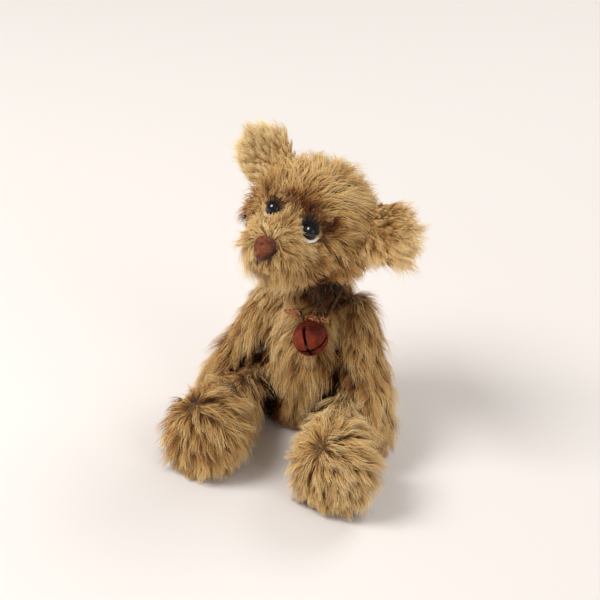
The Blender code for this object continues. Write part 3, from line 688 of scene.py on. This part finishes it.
def groom_leg(points, normals, pivot, parting, tint, parted, shorter, spread):
    """Combed down the leg, and on the round foot it falls from a short dark parting high on the toe."""
    count = len(points)
    foot = far_end(points, pivot)
    heading = unit(foot - pivot)
    share = ((points - pivot) @ heading) / np.linalg.norm(foot - pivot)
    sole = ease(share, 0.66, 0.9)
    comb = toward(heading * 0.5, count) + toward((0, 0, -0.75), count)
    line = points - np.array(parting)
    away = np.linalg.norm(line, axis=1)
    fall = unit(line) + toward((0, 0, -0.9), count) * ease(away, 8, 26)[:, None]
    comb = mixed(comb, fall, sole)
    above = ease(line[:, 2], -3, 3) * sole
    pile = usual_pile["leg"] - 3.0 * ease(share, 0.2, -0.1) + 1.5 * sole * ease(away, 4, 16)
    pile = pile - shorter * sole * (1 - above)
    pile = pile - 1.5 * ease(points[:, 1], -72, -84)
    sideways = spread * sole * ease(np.abs(normals[:, 0]), 0.3, 0.9)
    top = spread * ease(share, 0.5, 0.62) * ease(share, 0.9, 0.7) * ease(normals[:, 2], 0.2, 0.8)
    comb = comb + normals * (0.8 * sideways)[:, None]
    pile = pile + 4.5 * sideways + 3.0 * top
    lift = usual_lift["leg"] + 0.12 * sole + 0.14 * above + 0.3 * sideways + 0.45 * top
    narrow = np.linalg.norm(line * (1, 1, 0.55), axis=1)
    tone = tint + 0.2 * patches(points, 11) - 0.25 * parted * ease(narrow, 3.5, 1.0)
    crowd = 1 - parted * ease(narrow, 2.6, 0.8)
    return comb, pile, lift, tone, crowd


def surroundings(points, normals, own, others):
    """Which points are buried, and how close the next body lies face to face, 0 to 1."""
    hidden, gaps, facing = [], [], []
    # In millimetres: how far a neighbour counts, how wide a pocket is, and how near counts as buried
    farthest, pocket_width, touching = 18, 9, 0.9
    for point, normal in zip(points, normals):
        here = Vector(point) * mm
        way = Vector(normal)
        _, _, _, wall = own.ray_cast(here + way * 0.1 * mm, way, pocket_width * mm)
        gap, toward_it = farthest, 0
        for other in others:
            spot, _, _, distance = other.find_nearest(here, farthest * mm)
            if spot is not None and distance / mm < gap:
                gap = distance / mm
                toward_it = way.dot((spot - here).normalized())
        hidden.append(wall is not None or gap < touching)
        gaps.append(gap)
        facing.append(toward_it)
    gaps, facing = np.array(gaps), np.array(facing)
    close = np.maximum(ease(gaps, 16, 5) * ease(facing, 0.05, 0.55), ease(gaps, 5, 1.5))
    return np.array(hidden), close


def groomed_skin(node, groom, trees):
    """The node's skin with what its strands need: crowd, comb, and habit, which is pile, lift and tone."""
    bm = merged(node)
    bmesh.ops.triangulate(bm, faces=bm.faces)
    longest = 2.6 * mm  # edge, so that the comb can turn within it
    for _ in range(3):
        long_edges = [edge for edge in bm.edges if edge.calc_length() > longest]
        if not long_edges:
            break
        bmesh.ops.subdivide_edges(bm, edges=long_edges, cuts=1, use_grid_fill=True)
        bmesh.ops.triangulate(bm, faces=bm.faces)
    mesh = mesh_of(bm, node + " skin")
    count = len(mesh.vertices)
    points = np.empty(count * 3)
    normals = np.empty(count * 3)
    mesh.vertices.foreach_get("co", points)
    mesh.vertices.foreach_get("normal", normals)
    points = points.reshape(-1, 3) / mm
    normals = normals.reshape(-1, 3)
    comb, pile, lift, tone, crowd = groom(points, normals)
    body = body_of.get(node, node)
    others = [tree for name, tree in trees.items() if body_of.get(name, name) != body]
    hidden, close = surroundings(points, normals, trees[node], others)
    height = points[:, 2]
    on_floor = ease(height, 2.5, 0.2)
    crowd = np.where(hidden, 0.0, crowd) * (1 - 0.75 * on_floor)
    # Low down and at the throat, the pile is short where parts lie close, and darker there as painted shade
    throat = ease(height, 74, 80) * (body in ("torso", "head")) * ease(points[:, 1], 9, 1)
    inner = ease(-normals[:, 0] * np.sign(points[:, 0]), 0, 0.5)
    shorn = 0.4 + 0.3 * inner if body.startswith("leg") else 0.7
    pile = pile * (1 - shorn * close * np.maximum(ease(height, 50, 40), throat))
    # Higher up under the right arm it stands instead, and closes the gap
    gap = close * ease(height, 42, 50) * ease(height, 66, 58) * ease(points[:, 0], -5, -15)
    lift = lift + 0.3 * gap
    crowd = crowd * (1 + gap)
    # Painted shade: the tone darkens where parts lie close, low down and at the throat
    painted_gap_shade = 0.7
    if body.startswith("arm"):
        painted_gap_shade = 0.7 * ease(height, 16, 30)
    elif body.startswith("leg"):
        painted_gap_shade = 0.2 + 0.6 * inner
    tone = tone - painted_gap_shade * close * np.maximum(ease(height, 62, 52), throat)
    comb = unit(comb) + 0.5 * swirls(points, 13)
    habit = np.stack((pile * mm, lift, tone), 1)
    for name, kind, values in (
        ("crowd", "FLOAT", crowd),
        ("comb", "FLOAT_VECTOR", along_skin(comb, normals)),
        ("habit", "FLOAT_VECTOR", habit),
    ):
        attribute = mesh.attributes.new(name, kind, "POINT")
        field = "value" if kind == "FLOAT" else "vector"
        attribute.data.foreach_set(field, values.astype(np.float32).ravel())
    return mesh


def furry_area(mesh):
    """The skin's area, each part of it counted as much as it is crowded."""
    crowd = np.array([value.value for value in mesh.attributes["crowd"].data])
    total = 0.0
    for face in mesh.polygons:
        total += face.area * crowd[list(face.vertices)].mean()
    return total


def grow_pile(node, groom, trees, tree, finish, seed):
    """The strands of one part, as a plain mesh."""
    skin = groomed_skin(node, groom, trees)
    area = furry_area(skin)
    guide = bpy.data.objects.new(node + " skin", skin)
    bpy.context.scene.collection.objects.link(guide)
    modifier = guide.modifiers.new("Pile", "NODES")
    modifier.node_group = tree
    density = strand_counts[node] / area
    kind = node.split("_")[0]
    for name, value in (
        ("Strands per area", density),
        ("Locks per area", density / strands_in_a_lock),
        ("Width", strand_width),
        ("Curl", strand_curl),
        ("Wave", strand_wave),
        ("Droop", droop[kind]),
        ("Gathering", gathering[kind]),
        ("Waywardness", waywardness[kind]),
        ("Looseness", looseness),
        ("Roll", strand_roll),
        ("Lowest", floor_gap),
        ("Spread", floor_spread),
        ("Seed", seed),
        ("Finish", finish),
    ):
        set_input(modifier, name, value)
    bpy.context.view_layer.update()
    graph = bpy.context.evaluated_depsgraph_get()
    mesh = bpy.data.meshes.new_from_object(guide.evaluated_get(graph))
    bpy.data.objects.remove(guide)
    working = ("root", "stand", "chance", "comb", "habit", "crowd", "along", "across")
    for name in [attribute.name for attribute in mesh.attributes]:
        if name in working or name.startswith("lock "):
            mesh.attributes.remove(mesh.attributes[name])
    mesh.name = "pile_" + node
    mesh.shade_smooth()
    return mesh


def tube(bm, path, radii, sides):
    """A closed round tube along the path, with one radius at each point."""
    rings = []
    last = None
    for number, (point, radius) in enumerate(zip(path, radii)):
        before = path[max(number - 1, 0)]
        after = path[min(number + 1, len(path) - 1)]
        way = (after - before).normalized()
        if last is None:
            last = Vector((0, 0, 1)) if abs(way.z) < 0.9 else Vector((1, 0, 0))
        side = (last - way * last.dot(way)).normalized()
        last = side
        other = way.cross(side)
        angles = [2 * pi * i / sides for i in range(sides)]
        rings.append([bm.verts.new(point + (side * cos(a) + other * sin(a)) * radius) for a in angles])
    for lower, upper in zip(rings, rings[1:]):
        for i in range(sides):
            bm.faces.new((lower[i], lower[(i + 1) % sides], upper[(i + 1) % sides], upper[i]))
    bm.faces.new(rings[0][::-1])
    bm.faces.new(rings[-1])


# Without a seed the noise vectors would follow the clock
noise.seed_set(swirl_seed)

# Finishes
pile_finish = mohair_pile()
backing = woven_backing()
glass = black_glass()
# The nose is darkened to its lower left with painted shade: its middle, the way, and from where to where in metres
# along it
nose_painted_shade = (tuple(box_centre("nose")), (0.8, 0.1, -0.6), -2.5 * mm, 4 * mm)
nose_thread = embroidery_thread("Rust brown embroidery cotton", "35160C", "7C4026", "AE7048", nose_painted_shade)
finishes = {
    "mohair": backing,
    "white_felt": wool_felt(),
    "black_glass": glass,
    "nose_thread": nose_thread,
    "mouth_thread": embroidery_thread("Dark brown embroidery cotton", "150A08", "2B1712", "4A2E25"),
    "rusty_tin": rusty_tin(),
    # The cord is a darker brown as painted shade, so that it stays hidden in the pile
    "cord": embroidery_thread("Brown twisted cotton in painted shade", "3A2418", "5E3F2C", "80593F"),
    "hardboard": hardboard(),
    "steel": zinc_steel(),
}
lash_thread = embroidery_thread("Black lash fibre", "030201", "080403", "120A06")
curl_thread = embroidery_thread("Frayed pinkish cotton", "7E4424", "CE8A5A", "F0BE92")
for part in frame["record"]["subparts"]:
    cad_mesh = nodes[part["node"]].data
    cad_mesh.materials.clear()
    cad_mesh.materials.append(finishes[part["material_slot"]])


def make_eye(side_name):
    """A round glass eye in place of its solid, and the lashes over it."""
    centre = box_centre("eye_" + side_name)
    bm = bmesh.new()
    place = Matrix.Translation(centre)
    bmesh.ops.create_uvsphere(bm, u_segments=40, v_segments=28, radius=eye_radius, matrix=place)
    name = "glass_eye_" + side_name
    eye = add_piece(name, mesh_of(bm, name), "head", glass)
    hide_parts("eye_" + side_name)

    sign = 1 if side_name == "left" else -1
    outwards = head_turn @ Vector((sign, 0, 0))
    up = head_turn @ Vector((0, 0, 1))
    ahead = head_turn @ Vector((0, -1, 0))
    grow_lid(side_name, centre, outwards, up, ahead)

    bm = bmesh.new()
    # The left eye's lashes are thick and long, and the right eye's worn
    lash_count, fullness = (44, 1) if side_name == "left" else (16, 0.6)
    for number in range(lash_count):
        share = number / (lash_count - 1)
        angle = radians(10 + 150 * share)
        jitter = noise.noise(Vector((number * 0.73, sign, 0)))
        cross = noise.noise(Vector((number * 1.31, sign, 4)))
        radial = outwards * cos(angle) + up * sin(angle)
        peak = sin(angle - radians(12)) ** 4 * fullness
        length = (2.2 + 3.6 * peak + 1.8 * jitter) * mm
        root = centre + radial * 3.6 * mm + ahead * 2.6 * mm
        lean = (radial * 0.95 + ahead * 0.2 + outwards * 0.9 * cross).normalized()
        shares = (0, 0.35, 0.7, 1)
        path = [root + (lean * t + up * 0.3 * t * t - ahead * 0.25 * t * t) * length for t in shares]
        tube(bm, path, [radius * mm for radius in (0.26, 0.22, 0.14, 0.04)], 5)
    add_piece("lashes_" + side_name, mesh_of(bm, "lashes_" + side_name), "head", lash_thread)


def grow_lid(side_name, centre, outwards, up, ahead):
    """Short pile that leans over the felt from all sides but one, where a crescent stays bare."""
    bm = bmesh.new()
    chart = bm.loops.layers.uv.new("UVMap")
    # The crescent's middle and half width in degrees, how much longer the outer hairs are, and a seed
    crescent, half_width, reach, seed = (-38, 38, 1.0, 17) if side_name == "left" else (-130, 12, 1.8, 31)
    fading = radians(25)
    hair_count = 760
    for number in range(hair_count):
        a, b, c, d = [noise.cell(Vector((number, i, seed))) for i in range(4)]
        angle = 2 * pi * number / hair_count
        off_crescent = abs((angle - radians(crescent) + pi) % (2 * pi) - pi)
        cover = min(1.0, max(0.0, (off_crescent - radians(half_width)) / fading))
        if cover <= 0 or a > 0.25 + 0.75 * cover:
            continue
        radial = outwards * cos(angle) + up * sin(angle)
        around = outwards * -sin(angle) + up * cos(angle)
        root = centre + radial * (5.2 + 1.6 * b) * mm + ahead * (1.0 - 0.4 * b) * mm
        length = (1.5 + 1.1 * c) * (1 + (reach - 1) * max(0.0, cos(angle))) * mm
        lean = (around * (1.3 * (d - 0.5)) - radial * 0.9 + ahead * 0.35).normalized()
        dark = max(0.0, sin(angle)) ** 2
        tone = 0.68 - 0.42 * dark + 0.2 * (a - 0.5)
        wide = lean.cross(ahead).normalized() * 0.13 * mm
        rows = []
        for t in (0, 0.4, 0.75, 1):
            point = root + (lean * t + ahead * (0.5 * t - 0.45 * t * t)) * length
            rows.append([bm.verts.new(point + wide * (1 - 0.85 * t) * s) for s in (-1, 1)])
        for step, (low, high) in enumerate(zip(rows, rows[1:])):
            face = bm.faces.new((low[0], low[1], high[1], high[0]))
            for loop, v in zip(face.loops, (step, step, step + 1, step + 1)):
                loop[chart].uv = (tone, 0.25 + v / 4)
    add_piece("lid_" + side_name, mesh_of(bm, "lid_" + side_name), "head", pile_finish)


def make_nose():
    """A padded dome with satin stitches side by side that run together at its foot."""
    centre = box_centre("nose")
    half_width, half_height, crown = 7.5 * mm, 5.9 * mm, 4.1 * mm
    tip = Matrix.Rotation(radians(-24), 3, "X")
    across = head_turn @ Vector((1, 0, 0))
    up = head_turn @ tip @ Vector((0, 0, 1))
    ahead = head_turn @ tip @ Vector((0, -1, 0))

    def on_nose(u, v):
        """A point of the dome, where u and v run over a disc of radius 1."""
        narrowing = 0.74 + 0.26 * v
        rise = crown * max(0.0, 1 - (u * u + v * v) ** 1.2) ** 0.5
        return centre + across * u * narrowing * half_width + up * v * half_height + ahead * rise

    bm = bmesh.new()
    ring_count, side_count = 7, 28
    rings = []
    for ring in range(1, ring_count + 1):
        angles = [2 * pi * side / side_count for side in range(side_count)]
        reach = ring / ring_count
        rings.append([bm.verts.new(on_nose(cos(a) * reach, sin(a) * reach)) for a in angles])
    sunk = ahead * 2.5 * mm  # its foot, into the muzzle
    rings.append([bm.verts.new(vert.co - sunk) for vert in rings[-1]])
    middle = bm.verts.new(on_nose(0, 0))
    for i in range(side_count):
        bm.faces.new((middle, rings[0][i], rings[0][i - 1]))
        for inner, outer in zip(rings, rings[1:]):
            bm.faces.new((inner[i - 1], inner[i], outer[i], outer[i - 1]))
    bm.faces.new(rings[-1])
    bmesh.ops.recalc_face_normals(bm, faces=bm.faces)
    core = add_piece("nose_form", mesh_of(bm, "nose_form"), "head", nose_thread)
    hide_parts("nose")

    bm = bmesh.new()
    stitch_count, step_count = 19, 12
    thread = 0.36 * mm
    proud = ahead * 0.1 * mm
    for number in range(stitch_count):
        u = 1.9 * number / (stitch_count - 1) - 0.95
        end = (1 - u * u) ** 0.5
        wobble = 0.02 * noise.noise(Vector((number * 1.7, 3, 1)))
        heights = [1.04 * end * (1 - 2 * step / step_count) for step in range(step_count + 1)]
        points = [on_nose(u + wobble, height) + proud for height in heights]
        radii = [thread * (0.6 if step in (0, step_count) else 1) for step in range(step_count + 1)]
        tube(bm, points, radii, 6)
    add_piece("nose_stitches", mesh_of(bm, "nose_stitches"), "head", nose_thread)


def make_cord_curls():
    """Frayed ends of the cord that curl out of the pile above the bell and at the right of the chest."""
    bm = merged("torso")
    skin = BVHTree.FromBMesh(bm)
    bm.free()
    bm = bmesh.new()
    # Where each curl starts, across and up in millimetres, and how far it runs
    curls = (
        (-11.5, 70.0, 2.5), (-10.0, 68.5, 3.0), (-9.0, 71.0, 2.0), (-10.5, 71.5, 2.5),
        (-5.0, 69.5, 2.5), (-3.5, 70.5, 2.5), (-2.0, 70.0, 2.5), (-0.5, 70.5, 2.5), (1.0, 71.0, 3.0),
        (-3.0, 71.0, 3.0),
    )
    thread_radius, stand_off, step_count = 0.4 * mm, 9.0, 20
    for number, (x, z, run) in enumerate(curls):
        chance = [noise.noise(Vector((number * 2.3, i * 5.1, 7))) for i in range(5)]
        spot, normal, _, _ = skin.ray_cast(Vector((x, -200, z)) * mm, Vector((0, 1, 0)))
        start = spot + normal * (stand_off + chance[0]) * mm
        drift = Vector((1, -0.3, 0.5 * chance[1])) * run * mm
        radius = (1.2 + 0.5 * chance[2]) * mm
        turns = 1.5 + chance[3]
        path = [spot, spot.lerp(start, 0.5)]
        for step in range(step_count):
            t = step / (step_count - 1)
            angle = 2 * pi * turns * t + 6 * chance[4]
            path.append(start + drift * t + Vector((cos(angle), -0.5 * t, sin(angle))) * radius)
        tube(bm, path, [thread_radius] * len(path), 5)
    add_piece("cord_curls", mesh_of(bm, "cord_curls"), "torso", curl_thread)


def make_skins(parts):
    """The sewn mohair cloth of each stuffed part, under its pile."""
    for node in parts:
        name = "cloth_" + node
        skin = add_piece(name, mesh_of(merged(node), name), body_of.get(node, node), backing)
        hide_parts(node)


def make_pile(parts):
    """The pile of each stuffed part."""
    trees = {}
    for node in parts:
        bm = merged(node)
        trees[node] = BVHTree.FromBMesh(bm)
        bm.free()
    pivots = {joint["child"]: np.array(joint["pos_m"]) / mm for joint in frame["joints"]}
    tree = pile_tree(strand_curve_tree())
    for number, node in enumerate(parts):
        if node == "torso":
            groom = groom_torso
        elif node == "head":
            groom = groom_head
        elif node.startswith("ear"):
            groom = groom_ear
        elif node.startswith("arm"):
            groom = lambda points, normals, node=node: groom_arm(points, normals, pivots[node])
        else:
            groom = lambda points, normals, node=node: groom_leg(
                points, normals, pivots[node], *partings[node]
            )
        mesh = grow_pile(node, groom, trees, tree, pile_finish, first_seed + next_seed * number)
        add_piece("pile_" + node, mesh, body_of.get(node, node))


def make_camera():
    """A camera at the photograph's place and turn, in a square picture."""
    back = Vector((
        sin(camera_turn) * cos(camera_rise), -cos(camera_turn) * cos(camera_rise), sin(camera_rise)
    ))
    right = Vector((0, 0, 1)).cross(back).normalized()
    up = back.cross(right)
    tilted_right = right * cos(camera_roll) + up * sin(camera_roll)
    tilted_up = up * cos(camera_roll) - right * sin(camera_roll)
    data = bpy.data.cameras.new("Camera")
    data.sensor_width = sensor_width
    data.lens = focal_pixels / picture_width * sensor_width
    data.shift_x = (picture_width / 2 - seat_pixel[0]) / picture_width
    data.shift_y = (seat_pixel[1] - picture_width / 2) / picture_width
    camera = bpy.data.objects.new("Camera", data)
    bpy.context.scene.collection.objects.link(camera)
    turn = Matrix((tilted_right, tilted_up, back)).transposed().to_4x4()
    camera.matrix_world = Matrix.Translation(back * camera_distance) @ turn
    bpy.context.scene.camera = camera


def make_studio():
    """A pale matt floor, three soft lamps and an even pale surround."""
    aim = Vector((0, -0.02, 0.07))  # the bear's middle
    bpy.ops.mesh.primitive_plane_add(size=6)
    floor = bpy.context.object
    floor.name = "floor"
    made, tree, shader = new_material("Pale matt paper")
    wire(shader, {"Base Color": linear("EFE9E4"), "Roughness": 0.95, "Specular IOR Level": 0.1})
    floor.data.materials.append(made)
    for name, place, size, power in (
        ("Key", (-0.75, -0.6, 1.05), 0.55, 15),
        ("Fill", (0.95, -0.6, 0.6), 0.8, 2.5),
        ("Back", (0.3, 0.9, 1.0), 0.6, 6),
    ):
        data = bpy.data.lights.new(name, "AREA")
        data.size = size
        data.energy = power
        lamp = bpy.data.objects.new(name, data)
        bpy.context.scene.collection.objects.link(lamp)
        lamp.location = place
        lamp.rotation_euler = (aim - Vector(place)).to_track_quat("-Z", "Y").to_euler()
    world = bpy.data.worlds.new("Studio")
    world.use_nodes = True
    background = world.node_tree.nodes["Background"]
    background.inputs["Color"].default_value = linear("F1ECE8")
    background.inputs["Strength"].default_value = 0.42
    bpy.context.scene.world = world


bpy.context.scene.view_settings.view_transform = "Standard"
make_camera()
make_studio()
make_skins(strand_counts)
make_pile(strand_counts)
for side_name in ("right", "left"):
    make_eye(side_name)
make_nose()
make_cord_curls()
